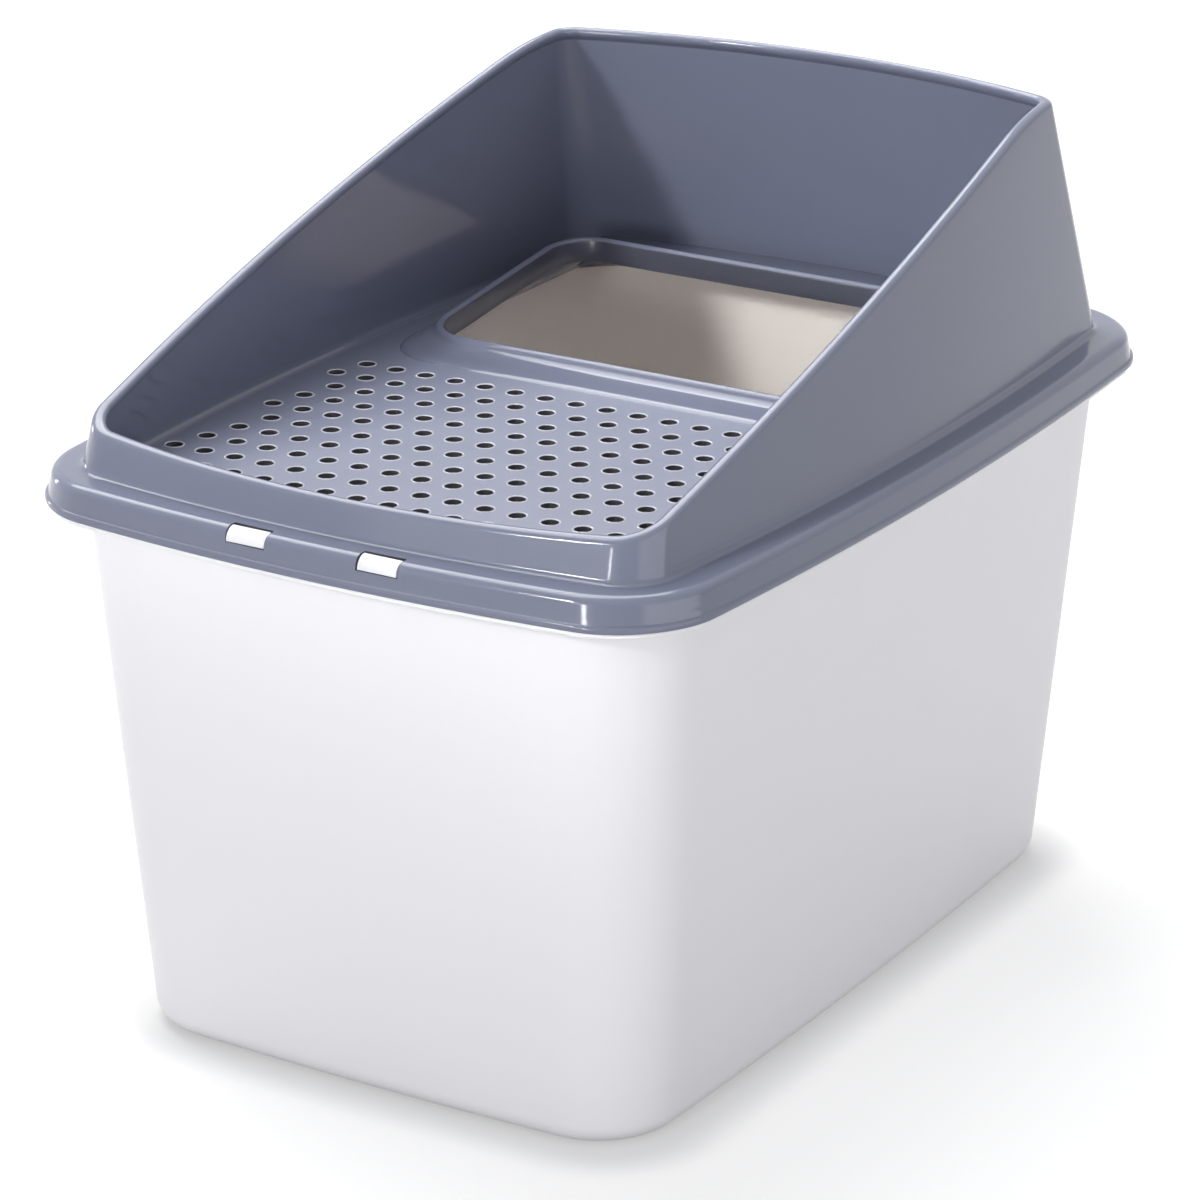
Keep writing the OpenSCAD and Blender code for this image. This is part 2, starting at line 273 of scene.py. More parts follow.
def finish_mesh(bm, name, sharp=32.0, recalc=True):
    bmesh.ops.remove_doubles(bm, verts=bm.verts, dist=1e-6)
    if recalc:
        bmesh.ops.recalc_face_normals(bm, faces=bm.faces)
    limit = math.radians(sharp)
    for edge in bm.edges:
        edge.smooth = edge.calc_face_angle(0.0) < limit
    for face in bm.faces:
        face.smooth = True
    mesh = bpy.data.meshes.new(name)
    bm.to_mesh(mesh)
    bm.free()
    obj = bpy.data.objects.new(name, mesh)
    bpy.context.scene.collection.objects.link(obj)
    return obj


# ---------------------------------------------------------------- tub
def tub_outline(z, e):
    """The tub's wall at the height z, moved inwards by e."""
    t = z / FLANGE_Z
    return outline(
        ROUND,
        mix(FLOOR_W, RIM_W - 2 * TUB_WALL_INSET, t) - 2 * e,
        mix(FLOOR_L, RIM_L - 2 * TUB_WALL_INSET, t) - 2 * e,
        mix(FLOOR_R, RIM_R - RIM_R_LOSS * TUB_WALL_INSET, t) - e,
        mix(FLOOR_BOW_X, BOW_X, t),
        mix(FLOOR_BOW_Y, BOW_Y, t),
    )


def floor_edge(e, r, steps=8):
    """The rounded edge between floor and wall, from the floor up."""
    turns = [math.pi / 2 * k / steps for k in range(steps + 1)]
    rings = [(e + r * (1 - math.sin(t)), e + r * (1 - math.cos(t))) for t in turns]
    return [level(tub_outline(z, inward), z) for inward, z in rings]


def make_tub():
    bm = bmesh.new()
    under = FLANGE_Z - FLANGE_T
    wall_zs = (*TUB_WALL_ZS, under - 2.4)
    rings = floor_edge(0, FLOOR_EDGE_R)
    rings += [level(tub_outline(z, 0), z) for z in wall_zs]
    flange = (
        [(TUB_WALL_INSET - 0.5, under - 0.7), (TUB_WALL_INSET - 1.8, under)]
        + [(FLANGE_INSET + 1.6, under)]
        + arc_section(FLANGE_INSET + FLANGE_ROUND, under + FLANGE_ROUND, FLANGE_ROUND, 270, 180, 3)
        + arc_section(FLANGE_INSET + FLANGE_ROUND, FLANGE_Z - FLANGE_ROUND, FLANGE_ROUND, 180, 90, 3)
    )
    rings += [level(rim(e), z) for e, z in flange]
    edge_top = LEDGE_UNDER_Z - EDGE_ROUND
    edge = (
        [(EDGE_INSET - EDGE_ROUND, FLANGE_Z), (EDGE_INSET, FLANGE_Z + EDGE_ROUND)]
        + arc_section(EDGE_INSET + EDGE_ROUND, edge_top, EDGE_ROUND, 180, 90, 3)
        + arc_section(EDGE_INSET + EDGE_T - EDGE_ROUND, edge_top, EDGE_ROUND, 90, 0, 3)
        + [(EDGE_INSET + EDGE_T, FLANGE_Z + 0.6)]
    )
    rings += [level(tub_edge(e), z) for e, z in edge]
    rings.append(level(tub_outline(FLANGE_Z - 0.1, TUB_T), FLANGE_Z - 0.1))
    rings += [level(tub_outline(z, TUB_T), z) for z in reversed(wall_zs)]
    rings += reversed(floor_edge(TUB_T, FLOOR_EDGE_R - TUB_T))
    loops = sweep(bm, rings)
    for verts in (loops[0], loops[-1]):
        bmesh.ops.contextual_create(bm, geom=loop_edges(bm, verts))
    tub = finish_mesh(bm, "tub_shell")
    # the inside faces take the warmer, brighter plastic, painted light standing in for the light inside
    # the tub
    for face in tub.data.polygons:
        c, n = face.center, face.normal
        inner_wall = n.x * c.x + n.y * c.y < 0
        inner_floor = n.z > 0.5 and c.z < FLOOR_EDGE_R * MM
        face.material_index = PAINTED_INSIDE if inner_wall or inner_floor else OUTSIDE
    return tub


# ---------------------------------------------------------------- lid
def soft_max(a, b, k):
    """The larger of two values, blended smoothly where they are within k."""
    return max(a, b) + max(k - abs(a - b), 0) ** 2 / (4 * k)


def hood_top(y):
    """The height of the hood's upper edge: low in front, level at the back."""
    t = (y - SLOPE_Y0) / (SLOPE_Y1 - SLOPE_Y0)
    line = mix(LIP_Z, TOTAL_H, t + SLOPE_CROWN * t * (1 - t))
    return soft_max(LIP_Z, -soft_max(-line, -TOTAL_H, TOP_BLEND), LIP_BLEND)


def top_height(place):
    guess = hood_top(hood_point(place, FOOT_Z, 0)[1])
    return hood_top(hood_point(place, guess, 0)[1])


TOPS = [top_height(place) for place in ROUND]


def hood_loop(heights, inward):
    spots = [hood_point(place, z, inward) for place, z in zip(ROUND, heights)]
    return [Vector((x, y, z)) * MM for (x, y), z in zip(spots, heights)]


def hood_ring(inward, down):
    """A loop on the hood at a depth below its sloping top."""
    return hood_loop([top - down for top in TOPS], inward)


def hood_band(inward, share, top_down):
    """A loop part of the way from the hood's foot to its top."""
    return hood_loop([mix(FOOT_Z, top - top_down, share) for top in TOPS], inward)


def hole_centres():
    """The places of the holes that fit on the deck's flat part."""
    e = HOOD_INSET + WALL_IN + FOOT_FILLET + HOLE_R + HOLE_MARGIN
    a, b, r = RIM_W / 2 - BOW_X - e, RIM_L / 2 - BOW_Y - e, FIELD_R
    found = []
    for k in range(ROWS):
        for i in range(-2 * ROWS + 2, ROWS):  # enough columns for the shifted rows
            x = FIRST_HOLE_X + HOLE_PITCH * i + ROW_SHIFT * k
            y = -LAST_ROW - ROW_PITCH * k
            inside = abs(x) < a + BOW_X * (1 - (y / b) ** 2)
            corner = math.hypot(max(abs(x) - a + r, 0), max(-y - b + r, 0)) < r + FIELD_CORNER
            if inside and corner:
                found.append((x, y))
    return found


def circle_points(x, y, r, z):
    turns = [2 * math.pi * k / HOLE_SIDES for k in range(HOLE_SIDES)]
    return [Vector((x + r * math.cos(t), y + r * math.sin(t), z)) * MM for t in turns]


# a hole's raised rim and bore, as distance outwards and height above the deck
HOLE_SECTION = (
    (HOLE_RIM, 0.0),
    (HOLE_RIM * 0.6, HOLE_RIM_H),
    (0.1, HOLE_RIM_H),
    (-HOLE_INSET, -0.1),
    (-HOLE_INSET, -DECK_T),
)
# the shares of the hood wall's height at which its rings lie
OUTER_BANDS = (0.04, 0.15, 0.3, 0.45, 0.6, 0.75, 0.9)
INNER_BANDS = (0.93, 0.8, 0.65, 0.5, 0.35, 0.2, 0.06)
LIP_TURNS = 10


def make_lid():
    bm = bmesh.new()
    # from the deck's underside round the recess, the ledge's underside and the skirt
    recess = [
        (WALL_IN + FOOT_FILLET, DECK_UNDER_Z),
        (WALL_IN + 2, DECK_UNDER_Z),
        (1.2, DECK_UNDER_Z + 0.2),
        (0.4, DECK_UNDER_Z + 1.0),
        (0.2, LEDGE_UNDER_Z - 1.0),
        (-0.6, LEDGE_UNDER_Z),
    ]
    under = [
        (7.4, LEDGE_UNDER_Z),
        (6.2, LEDGE_UNDER_Z - 0.4),
        (5.4, LEDGE_UNDER_Z - 1.2),
        (4.8, LEDGE_UNDER_Z - 2.4),
        (4.5, WINDOW_Z),
        (4.0, SKIRT_Z + 6),
        (3.6, SKIRT_Z + 0.5),
    ]
    skirt = (
        [(3.2, SKIRT_Z), (0.9, SKIRT_Z)]
        + arc_section(0.9, SKIRT_Z + 0.9, 0.9, 250, 180, 3)
        + [(0, SKIRT_Z + 2.2), (0.1, SKIRT_Z + 2.9), (0.5, SKIRT_Z + 3.5), (1.3, SKIRT_Z + 3.9)]
        + [(1.5, SKIRT_Z + 4.6), (1.8, SKIRT_Z + 7.0), (2.2, WINDOW_Z)]
        + arc_section(LEDGE_EDGE, LEDGE_Z - LEDGE_ROUND, LEDGE_ROUND, 180, 90, 8)
    )
    foot = arc_section(-HOOD_FOOT_R, LEDGE_Z + HOOD_FOOT_R, HOOD_FOOT_R, 285, 352, 5)
    rings = [level(hood_foot(i), z) for i, z in recess]
    rings.append(ledge_loop(LEDGE_UNDER_Z, -0.6))
    rings += [level(rim(e), z) for e, z in under + skirt]
    rings.append(ledge_loop(LEDGE_Z, -HOOD_FOOT_R))
    rings += [level(hood_foot(i), z) for i, z in [(-HOOD_FOOT_R, LEDGE_Z)] + foot]
    rings += [hood_band(0, share, LIP_ROUND) for share in OUTER_BANDS]
    for k in range(LIP_TURNS + 1):
        turn = math.radians(180 / LIP_TURNS * k)
        inward = LIP_W / 2 * (1 - math.cos(turn))
        rings.append(hood_ring(inward, LIP_ROUND * (1 - math.sin(turn))))
    rings += [hood_ring(LIP_W, 3.6), hood_ring(LIP_W - 0.5, 4.8), hood_ring(LIP_W - 1.8, 6.2)]
    rings += [hood_ring(WALL_IN, 7.6)]
    rings += [hood_band(HOOD_T, share, 8.6) for share in INNER_BANDS]
    fillet = arc_section(WALL_IN + FOOT_FILLET, DECK_Z + FOOT_FILLET, FOOT_FILLET, 180, 270, 8)
    rings += [level(hood_foot(i), z) for i, z in fillet]
    loops = sweep(bm, rings)
    cut_windows(bm)

    # the deck is open under the platform, whose foot covers the cut's edge
    cut = rounded_rectangle(
        ENTRY_W / 2 + SIDE_MARGIN - PLATFORM_COVER,
        ENTRY_Y0 - FRONT_MARGIN + PLATFORM_COVER,
        CUT_BACK_Y,
        PLATFORM_R - PLATFORM_COVER,
        FRAME_ARCS,
        FRAME_SIDES,
    )
    cut_top = first_loop(bm, level(cut, DECK_Z))
    cut_low = next_loop(bm, cut_top, level(cut, DECK_UNDER_Z))
    top = loop_edges(bm, loops[-1]) + loop_edges(bm, cut_top)
    bottom = loop_edges(bm, loops[0]) + loop_edges(bm, cut_low)
    holes = hole_centres()
    for x, y in holes:
        bore = sweep(bm, [circle_points(x, y, HOLE_R + g, DECK_Z + h) for g, h in HOLE_SECTION])
        top += loop_edges(bm, bore[0])
        bottom += loop_edges(bm, bore[-1])
    bmesh.ops.triangle_fill(bm, edges=top, normal=(0, 0, 1), use_beauty=False)
    bmesh.ops.triangle_fill(bm, edges=bottom, normal=(0, 0, 1), use_beauty=False)
    lid = finish_mesh(bm, "lid_moulding")
    for face in lid.data.polygons:
        face.material_index = lid_finish(face, holes)
    return lid


def lid_finish(face, holes):
    """Which of the lid's finishes a face has."""
    x, y, z = face.center / MM
    n = face.normal
    upright, flat = 0.8, 0.9
    # a face of a hole's rim or bore is small, by a hole and within the deck's thickness
    if DECK_UNDER_Z < z < DECK_Z + 0.5 and face.area < 8 * MM * MM:
        if any(math.hypot(x - hx, y - hy) < HOLE_R + HOLE_RIM for hx, hy in holes):
            # a bore's upright faces are painted dark as shade
            if abs(n.z) < 0.1:
                return PAINTED_SHADE
            # a rim's upward faces are painted pale as a highlight
            if n.z > 0.3 and z > DECK_Z + 0.03:
                return PAINTED_HIGHLIGHT
    if n.z > flat and abs(z - DECK_Z) < 0.5:
        return DECK
    # a latch window's sides and back lie in the shade of the latch and are painted dark as that shade
    at_latch = abs(abs(x) - LATCH_X) < WINDOW_W / 2 + 0.6 and abs(y) > RIM_L / 2 - 15
    if at_latch and WINDOW_Z < z < LEDGE_Z and max(abs(n.x), abs(n.y)) > upright:
        beside = abs(n.x) > upright
        behind = z > LEDGE_UNDER_Z - 0.2 and abs(y) < RIM_L / 2 - 9
        return PAINTED_SHADE if beside or behind else WALL
    return WALL


def ledge_loop(z, inward):
    """The loop on the ledge that the latch windows are cut back to."""
    outer = rim(LEDGE_EDGE)
    inner = hood_foot(inward)
    points = []
    for (ax, ay), (bx, by) in zip(outer, inner):
        inset = HOOD_INSET if ay < 0 else HOOD_BACK_INSET
        share = (WINDOW_E - LEDGE_EDGE) / (inset + inward - LEDGE_EDGE)
        points.append((mix(ax, bx, share), mix(ay, by, share)))
    return level(points, z)


def in_window(p):
    """True on the lid's rim where a latch shows."""
    x, y, z = abs(p.x / MM), abs(p.y / MM), p.z / MM
    edge = RIM_L / 2 - BOW_Y * (x / (RIM_W / 2 - BOW_X)) ** 2
    return (
        abs(x - LATCH_X) < WINDOW_W / 2
        and edge - y < WINDOW_E
        and WINDOW_Z < z < LEDGE_Z + 1
        and y > RIM_L / 2 - END_ZONE
    )


def cut_windows(bm):
    """Opens the four latch windows through the rim and joins its two skins."""
    cut = [f for f in bm.faces if in_window(f.calc_center_median())]
    bmesh.ops.delete(bm, geom=cut, context="FACES_ONLY")
    loose = [e for e in bm.edges if not e.link_faces]
    bmesh.ops.delete(bm, geom=loose, context="EDGES")

    def at_window(v, side, end):
        x, y, z = v.co / MM
        return (
            abs(x * side - LATCH_X) < WINDOW_W / 2 + 0.5
            and y * end > RIM_L / 2 - END_ZONE
            and WINDOW_Z - 1 < z < LEDGE_Z + 1
        )

    for side in (-1, 1):
        for end in (-1, 1):
            near = [
                e for e in bm.edges if e.is_boundary and all(at_window(v, side, end) for v in e.verts)
            ]
            bmesh.ops.bridge_loops(bm, edges=near)


# ---------------------------------------------------------------- platform
def entry_z(y):
    """The height of the collar's crest."""
    return DECK_Z + mix(ENTRY_FRONT, ENTRY_BACK, (y - ENTRY_Y0) / ENTRY_L)


def platform_z(y):
    """The height of the platform, which rises towards the back."""
    return DECK_Z + mix(STEP_H, PLATFORM_H, (y - ENTRY_Y0 + FRONT_MARGIN) / PLATFORM_L)


def inside_hood(x, y):
    """Pulls a point that lies outside the hood's wall back into it."""
    overlap, centre_y = 1.8, 150.0
    w, l, r, bx, by, middle = hood_sizes(FOOT_Z, overlap)
    a, b = w / 2 - bx, l / 2 - by

    def within(px, py):
        py -= middle
        qx = px / (1 + bx / a * (1 - (py / b) ** 2))
        qy = py / (1 + by / b * (1 - (px / a) ** 2))
        return math.hypot(max(abs(qx) - a + r, 0), max(abs(qy) - b + r, 0)) <= r

    if within(x, y):
        return x, y
    low, high = 0.0, 1.0
    for _ in range(24):
        half = (low + high) / 2
        if within(mix(0, x, half), mix(centre_y, y, half)):
            low = half
        else:
            high = half
    return mix(0, x, low), mix(centre_y, y, low)


def edge_ring(grow, down):
    """A loop round the entry, grown outwards and lowered from the crest."""
    points = rounded_rectangle(
        ENTRY_W / 2 + grow,
        ENTRY_Y0 - grow,
        ENTRY_Y0 + ENTRY_L + grow,
        ENTRY_R + grow,
        FRAME_ARCS,
        FRAME_SIDES,
    )
    return [Vector((x, y, entry_z(y) - down)) * MM for x, y in points]


def foot_ring(inward, up, lift=0.0):
    """A loop on the platform's flank, a share of the way up from the deck."""
    points = rounded_rectangle(
        ENTRY_W / 2 + SIDE_MARGIN - inward,
        ENTRY_Y0 - FRONT_MARGIN + inward,
        RIM_L / 2 - PLATFORM_BACK_INSET - inward,
        PLATFORM_R - inward,
        FRAME_ARCS,
        FRAME_SIDES,
    )
    spots = [inside_hood(x, y) for x, y in points]
    return [Vector((x, y, mix(DECK_Z, platform_z(y), up) + lift)) * MM for x, y in spots]


def blended(first, second, share, lift):
    """A loop part of the way from one loop to another, raised by lift."""
    return [p.lerp(q, share) + Vector((0, 0, lift * MM)) for p, q in zip(first, second)]


# the platform's foot, as distance inwards and share of the way up
FOOT_SECTION = ((0, 0.05), (0.5, 0.25), (1.1, 0.48), (1.9, 0.7), (3.0, 0.87), (4.6, 0.97))
# the platform's top, as share of the way to the collar and lift
TOP_SECTION = ((0.25, -0.25), (0.5, -0.5), (0.75, -0.5))
# the collar from its outer flank over the crest and down its inner wall
CREST_SECTION = ((5.4, 1.7), (4.5, 0.8), (3.5, 0.2), (2.5, 0), (1.5, 0.15), (0.7, 0.6), (0.2, 1.2))
INNER_SECTION = ((0, 2.2), (-0.5, 8), (-0.9, 12.2), (-0.6, 12.9))
UNDER_SECTION = ((0.2, 13), (1.2, 13), (1.4, 12.4), (3, 6))
FOOT_DEPTH = -DECK_T - 0.3


def make_platform():
    bm = bmesh.new()
    edge = foot_ring(7, 1)
    flank = edge_ring(6.4, 3.0)
    rings = [foot_ring(0, 0, FOOT_DEPTH)]
    rings += [foot_ring(inward, up) for inward, up in FOOT_SECTION]
    rings.append(edge)
    rings += [blended(edge, flank, share, lift) for share, lift in TOP_SECTION]
    rings.append(flank)
    rings += [edge_ring(*place) for place in CREST_SECTION + INNER_SECTION + UNDER_SECTION]
    rings += [foot_ring(11, 1, -2.8), foot_ring(3.4, 0, FOOT_DEPTH)]
    sweep(bm, rings + [rings[0]])
    collar = finish_mesh(bm, "entry_collar", sharp=50)
    # the collar's inner wall is painted dark as shade
    for face in collar.data.polygons:
        x, y, z = face.center / MM
        within = abs(x) < ENTRY_W / 2 + 0.4 and ENTRY_Y0 - 0.4 < y < ENTRY_Y0 + ENTRY_L + 0.4
        face.material_index = PAINTED_INSIDE if within and face.normal.z < 0.35 else OUTSIDE
    return collar


# ---------------------------------------------------------------- latches
def dress_latch(name):
    """The latch's own solid with its hard edges rounded."""
    bm = bmesh.new()
    bm.from_mesh(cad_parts[name].data)
    bmesh.ops.remove_doubles(bm, verts=bm.verts, dist=1e-6)
    bmesh.ops.dissolve_limit(
        bm, angle_limit=math.radians(1.0), verts=bm.verts, edges=bm.edges, delimit=set()
    )
    hard = [e for e in bm.edges if e.calc_face_angle(0.0) > math.radians(30)]
    bmesh.ops.bevel(
        bm,
        geom=hard,
        offset=LATCH_BEVEL * MM,
        offset_type="OFFSET",
        affect="EDGES",
        segments=2,
        profile=0.5,
        material=-1,
        clamp_overlap=True,
    )
    return finish_mesh(bm, name + "_moulding", recalc=False)


# ---------------------------------------------------------------- materials
def new_material(name):
    material = bpy.data.materials.new(name)
    material.use_nodes = True
    nodes = material.node_tree.nodes
    return material, nodes, material.node_tree.links, nodes["Principled BSDF"]


def noise(nodes, links, place, scale, detail):
    texture = nodes.new("ShaderNodeTexNoise")
    texture.inputs["Scale"].default_value = scale
    texture.inputs["Detail"].default_value = detail
    links.new(place.outputs["Object"], texture.inputs["Vector"])
    return texture.outputs["Fac"]


def map_range(nodes, links, value, low, high, start=0.0, end=1.0):
    """Turns a value that runs from start to end into one from low to high."""
    ramp = nodes.new("ShaderNodeMapRange")
    ramp.inputs["From Min"].default_value = start
    ramp.inputs["From Max"].default_value = end
    ramp.inputs["To Min"].default_value = low
    ramp.inputs["To Max"].default_value = high
    links.new(value, ramp.inputs["Value"])
    return ramp


# the plastic's patterns, as noise scale and detail
FLOW_MARKS, HANDLING_HAZE = (7.0, 3.0), (38.0, 5.0)
FINE_GRAIN, SURFACE_WAVES = (900.0, 2.0), (14.0, 1.0)
HAZE_SPREAD = 0.2
GRAIN_DEPTH, WAVE_DEPTH, WAVE_STRENGTH = 0.0001, 0.0008, 0.16
PLASTIC_IOR, COAT_ROUGH = 1.5, 0.08


def bump(nodes, links, height, strength, distance):
    texture = nodes.new("ShaderNodeBump")
    texture.inputs["Strength"].default_value = strength
    texture.inputs["Distance"].default_value = distance
    links.new(height, texture.inputs["Height"])
    return texture


def moulded_plastic(name, colour, shade, rough, grain, coat=0.0, gloss=0.5):
    """Injection-moulded plastic: faint flow marks, fine grain and handling haze."""
    material, nodes, links, shader = new_material(name)
    place = nodes.new("ShaderNodeTexCoord")
    tint = nodes.new("ShaderNodeMix")
    tint.data_type = "RGBA"
    tint.inputs["A"].default_value = (*colour, 1)
    tint.inputs["B"].default_value = (*[c * shade for c in colour], 1)
    links.new(noise(nodes, links, place, *FLOW_MARKS), tint.inputs["Factor"])
    links.new(tint.outputs["Result"], shader.inputs["Base Color"])
    haze = noise(nodes, links, place, *HANDLING_HAZE)
    spread = map_range(nodes, links, haze, rough * (1 - HAZE_SPREAD), rough * (1 + HAZE_SPREAD))
    links.new(spread.outputs["Result"], shader.inputs["Roughness"])
    fine = noise(nodes, links, place, *FINE_GRAIN)
    grain_bump = bump(nodes, links, fine, grain, GRAIN_DEPTH)
    waves = noise(nodes, links, place, *SURFACE_WAVES)
    wave_bump = bump(nodes, links, waves, WAVE_STRENGTH, WAVE_DEPTH)
    links.new(grain_bump.outputs["Normal"], wave_bump.inputs["Normal"])
    links.new(wave_bump.outputs["Normal"], shader.inputs["Normal"])
    shader.inputs["IOR"].default_value = PLASTIC_IOR
    shader.inputs["Specular IOR Level"].default_value = gloss
    shader.inputs["Coat Weight"].default_value = coat
    shader.inputs["Coat Roughness"].default_value = COAT_ROUGH
    return material


# colour, shade of the flow marks, roughness and grain of each finish
TUB_PLASTIC = moulded_plastic("white_tub_plastic", (0.85, 0.845, 0.865), 0.97, 0.45, 0.08, gloss=0.35)
# painted light: a warmer, brighter copy of the tub plastic for the tub's inside
TUB_INSIDE_PAINTED_LIGHT = moulded_plastic("tub_inside_painted_warm_light", (0.95, 0.89, 0.84), 0.97, 0.45, 0.08, gloss=0.3)
LID_PLASTIC = moulded_plastic("blue_grey_lid_plastic", (0.162, 0.175, 0.24), 0.94, 0.11, 0.03, gloss=0.38)
# painted shade: near-black plastic on the holes' bores and the latch windows' sides
PAINTED_SHADE_PLASTIC = moulded_plastic("painted_shade_plastic", (0.06, 0.058, 0.068), 0.9, 0.5, 0.1, gloss=0.3)
DECK_PLASTIC = moulded_plastic("satin_deck_plastic", (0.176, 0.188, 0.258), 0.95, 0.4, 0.1, gloss=0.58)
# painted highlight: pale plastic on the holes' raised rims
HOLE_RIM_HIGHLIGHT_PAINT = moulded_plastic("hole_rim_painted_highlight", (0.52, 0.53, 0.58), 0.95, 0.25, 0.05)
# painted shade: dark plastic on the collar's inner wall
COLLAR_PAINTED_SHADE = moulded_plastic("collar_wall_painted_shade", (0.07, 0.075, 0.1), 0.93, 0.2, 0.04)
LATCH_PLASTIC = moulded_plastic("white_latch_plastic", (0.72, 0.72, 0.74), 0.97, 0.3, 0.05, coat=0.1)


def dress(obj, materials, body, slot, *nodes):
    """Gives a piece its finishes and its body and hides the nodes it replaces; slot is not used."""
    for material in materials:
        obj.data.materials.append(material)
    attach(obj, body)
    if nodes:
        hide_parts(*nodes)


dress(make_tub(), (TUB_PLASTIC, TUB_INSIDE_PAINTED_LIGHT), "tub", "tub_plastic", "tub")
dress(make_lid(), (LID_PLASTIC, DECK_PLASTIC, PAINTED_SHADE_PLASTIC, HOLE_RIM_HIGHLIGHT_PAINT), "lid", "lid_plastic", "lid")
dress(make_platform(), (LID_PLASTIC, COLLAR_PAINTED_SHADE), "lid", "lid_plastic")
for end in ("front", "rear"):
    for side in ("left", "right"):
        latch = f"latch_{end}_{side}"
        dress(dress_latch(latch), (LATCH_PLASTIC,), latch, "latch_plastic", latch)


# ---------------------------------------------------------------- camera
AZIMUTH, ELEVATION = math.radians(31.59), math.radians(20.60)
CAMERA_DISTANCE = 2.52299
CAMERA_TARGET = Vector((0.00006, -0.03047, 0.2))
CLIP_START, CLIP_END = 0.05, 100
SENSOR = 36.0
PICTURE, FOCAL_LENGTH = 1200, 4816.07  # pixels
LENS = FOCAL_LENGTH / PICTURE * SENSOR
SHIFT_X, SHIFT_Y = 18.62 / PICTURE, -0.65 / PICTURE

back = Vector(
    (
        math.sin(AZIMUTH) * math.cos(ELEVATION),
        -math.cos(AZIMUTH) * math.cos(ELEVATION),
        math.sin(ELEVATION),
    )
)
right = Vector((math.cos(AZIMUTH), math.sin(AZIMUTH), 0))
up = back.cross(right)
camera_data = bpy.data.cameras.new("camera")
camera_data.sensor_width = SENSOR
camera_data.lens = LENS
camera_data.shift_x, camera_data.shift_y = SHIFT_X, SHIFT_Y
camera_data.clip_start, camera_data.clip_end = CLIP_START, CLIP_END
camera = bpy.data.objects.new("camera", camera_data)
turn = Matrix((right, up, back)).transposed().to_4x4()
camera.matrix_world = Matrix.Translation(CAMERA_TARGET + back * CAMERA_DISTANCE) @ turn
bpy.context.scene.collection.objects.link(camera)
bpy.context.scene.camera = camera


# ---------------------------------------------------------------- studio
BOX_MIDDLE, BOX_FOOT, HOOD_TOP = (0, 0, 0.25), (0, 0, 0.1), (0.12, 0.25, 0.5)


def softbox(name, place, width, height, watts, aim=BOX_MIDDLE, spread=180.0):
    """A rectangular lamp aimed at a point, its light kept within the spread in degrees."""
    data = bpy.data.lights.new(name, "AREA")
    data.shape = "RECTANGLE"
    data.size, data.size_y = width, height
    data.energy = watts
    data.spread = math.radians(spread)
    lamp = bpy.data.objects.new(name, data)
    lamp.location = place
    lamp.rotation_euler = (Vector(aim) - Vector(place)).to_track_quat("-Z", "Y").to_euler()
    bpy.context.scene.collection.objects.link(lamp)


softbox("front_softbox", (-0.4, -3.1, 1.0), 2.4, 1.4, 13, aim=BOX_FOOT)
softbox("hood_softbox", (-0.7, -2.4, 1.7), 0.8, 0.8, 1.1, aim=HOOD_TOP, spread=9)
softbox("front_strip", (0.1, -3.0, 0.5), 0.25, 0.9, 20)
softbox("left_strip", (-3.0, 0.4, 0.5), 0.2, 0.9, 7)
softbox("right_softbox", (3.0, -0.4, 0.6), 3.2, 1.4, 26, aim=BOX_FOOT)
softbox("top_softbox", (-0.9, 0.6, 2.2), 2.0, 2.0, 72)


def maths(nodes, links, operation, first, second):
    step = nodes.new("ShaderNodeMath")
    step.operation = operation
    links.new(first, step.inputs[0])
    links.new(second, step.inputs[1])
    return step.outputs["Value"]


def seen_directly(nodes, links):
    """1 for rays from the camera and rays mirrored or refracted to it, else 0."""
    path = nodes.new("ShaderNodeLightPath")
    total = path.outputs["Is Camera Ray"]
    for kind in ("Is Glossy Ray", "Is Transmission Ray"):
        total = maths(nodes, links, "MAXIMUM", total, path.outputs[kind])
    return total


FILL_COLOUR, FILL_STRENGTH = (0.95, 0.96, 1.0, 1), 0.5
WHITE = (1, 1, 1, 1)


def make_world():
    """A white backdrop where it is seen, and a weaker, cooler fill light elsewhere."""
    world = bpy.data.worlds.new("studio")
    world.use_nodes = True
    bpy.context.scene.world = world
    nodes, links = world.node_tree.nodes, world.node_tree.links
    background = nodes["Background"]
    seen = seen_directly(nodes, links)
    tint = nodes.new("ShaderNodeMix")
    tint.data_type = "RGBA"
    tint.inputs["A"].default_value = FILL_COLOUR
    tint.inputs["B"].default_value = WHITE
    links.new(seen, tint.inputs["Factor"])
    links.new(tint.outputs["Result"], background.inputs["Color"])
    strength = map_range(nodes, links, seen, FILL_STRENGTH, 1.0)
    links.new(strength.outputs["Result"], background.inputs["Strength"])


FLOOR_SIZE, FLOOR_GREY, FLOOR_ROUGH = 30, (0.45, 0.45, 0.45, 1), 0.9
# a dimmer glow at the footprint is a painted contact shadow that fades out over the given width
PAINTED_SHADOW_GLOW, OPEN_GLOW, PAINTED_SHADOW_WIDTH = 0.36, 0.58, 32
FAR_GLOW, FAR_START, FAR_END = 0.5, 0.5, 3.5
ANY_HEIGHT = 1000.0


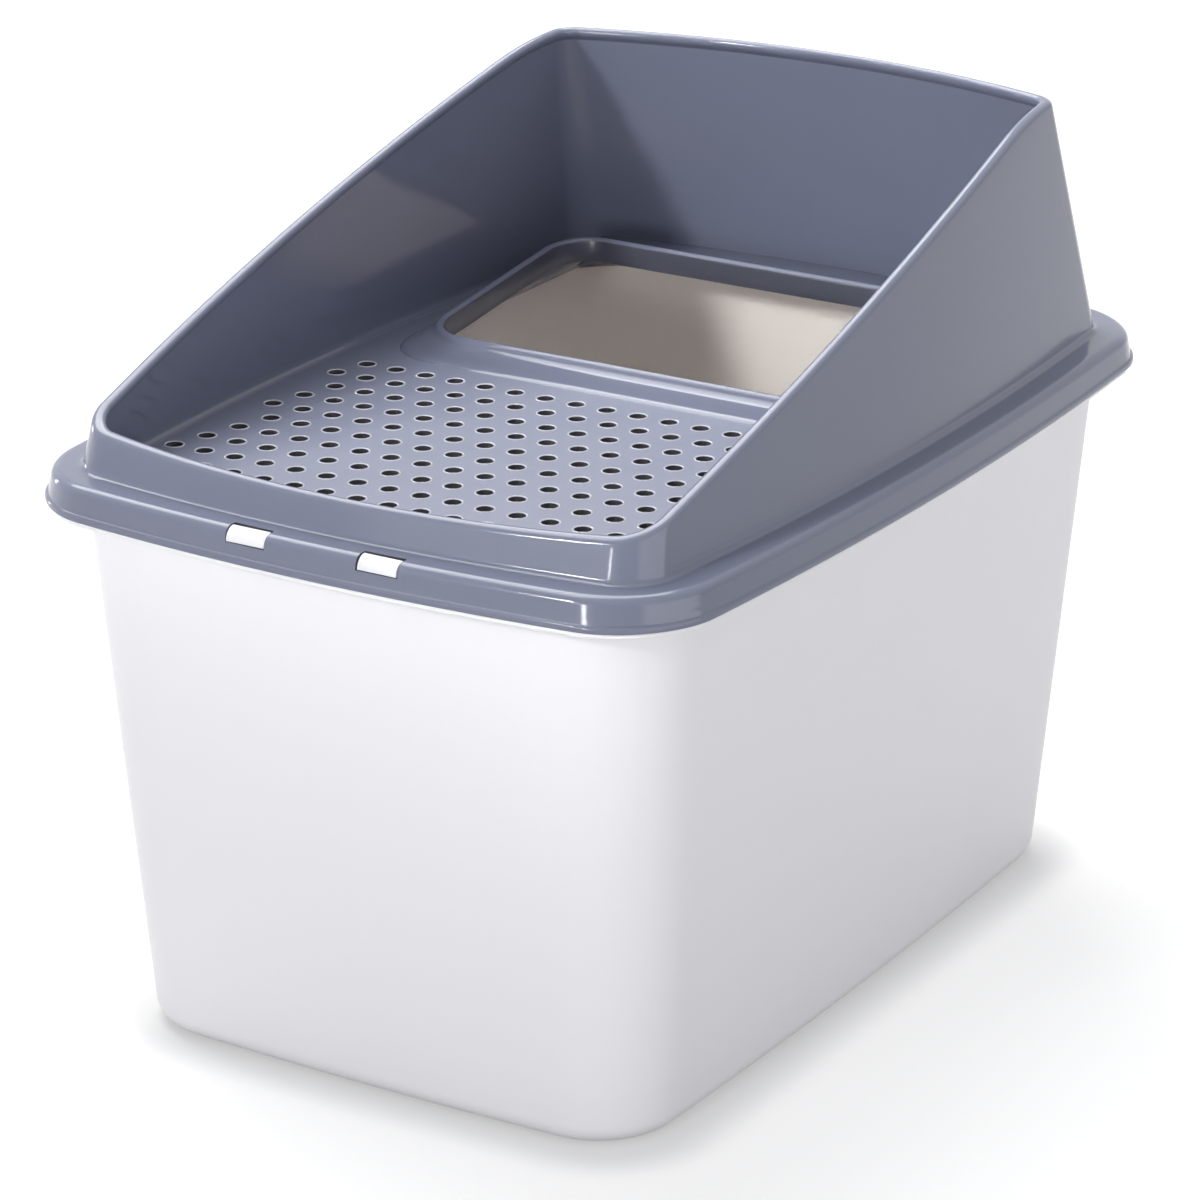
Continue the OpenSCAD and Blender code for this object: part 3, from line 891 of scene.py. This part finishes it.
def footprint_distance(nodes, links):
    """The distance from the footprint's core, which is its rectangle less the corner radius."""
    place = nodes.new("ShaderNodeTexCoord").outputs["Object"]
    core = (FLOOR_W / 2 - FLOOR_R, FLOOR_L / 2 - FLOOR_R, ANY_HEIGHT)
    for operation, amount in (
        ("ABSOLUTE", None),
        ("SUBTRACT", [c * MM for c in core]),
        ("MAXIMUM", (0, 0, 0)),
        ("LENGTH", None),
    ):
        step = nodes.new("ShaderNodeVectorMath")
        step.operation = operation
        links.new(place, step.inputs[0])
        if amount:
            step.inputs[1].default_value = amount
        place = step.outputs["Value" if operation == "LENGTH" else "Vector"]
    return place


def make_floor():
    """A floor that takes the cast shadow and glows to white where it is seen, with a painted contact
    shadow where the glow dims by the tub.
    """
    bm = bmesh.new()
    bmesh.ops.create_grid(bm, x_segments=1, y_segments=1, size=FLOOR_SIZE)
    mesh = bpy.data.meshes.new("floor")
    bm.to_mesh(mesh)
    bm.free()
    floor = bpy.data.objects.new("floor", mesh)
    bpy.context.scene.collection.objects.link(floor)
    material, nodes, links, shader = new_material("pale_floor")
    shader.inputs["Base Color"].default_value = FLOOR_GREY
    shader.inputs["Roughness"].default_value = FLOOR_ROUGH
    shader.inputs["Specular IOR Level"].default_value = 0.0
    # the glow grows outwards from the edge of the tub's footprint, so that its dimmer band paints a
    # contact shadow round the tub
    away = footprint_distance(nodes, links)
    start, end = FLOOR_R * MM, (FLOOR_R + PAINTED_SHADOW_WIDTH) * MM
    painted_shadow_fade = map_range(nodes, links, away, PAINTED_SHADOW_GLOW, OPEN_GLOW, start, end)
    painted_shadow_fade.interpolation_type = "SMOOTHSTEP"
    # and a second glow evens out the floor far from the lamps
    far = map_range(nodes, links, away, 0.0, FAR_GLOW, FAR_START, FAR_END)
    total = maths(nodes, links, "ADD", painted_shadow_fade.outputs["Result"], far.outputs["Result"])
    strength = maths(nodes, links, "MULTIPLY", total, seen_directly(nodes, links))
    glow = nodes.new("ShaderNodeEmission")
    links.new(strength, glow.inputs["Strength"])
    both = nodes.new("ShaderNodeAddShader")
    links.new(shader.outputs["BSDF"], both.inputs[0])
    links.new(glow.outputs["Emission"], both.inputs[1])
    links.new(both.outputs["Shader"], nodes["Material Output"].inputs["Surface"])
    mesh.materials.append(material)


make_world()
make_floor()
bpy.context.scene.view_settings.view_transform = "Standard"
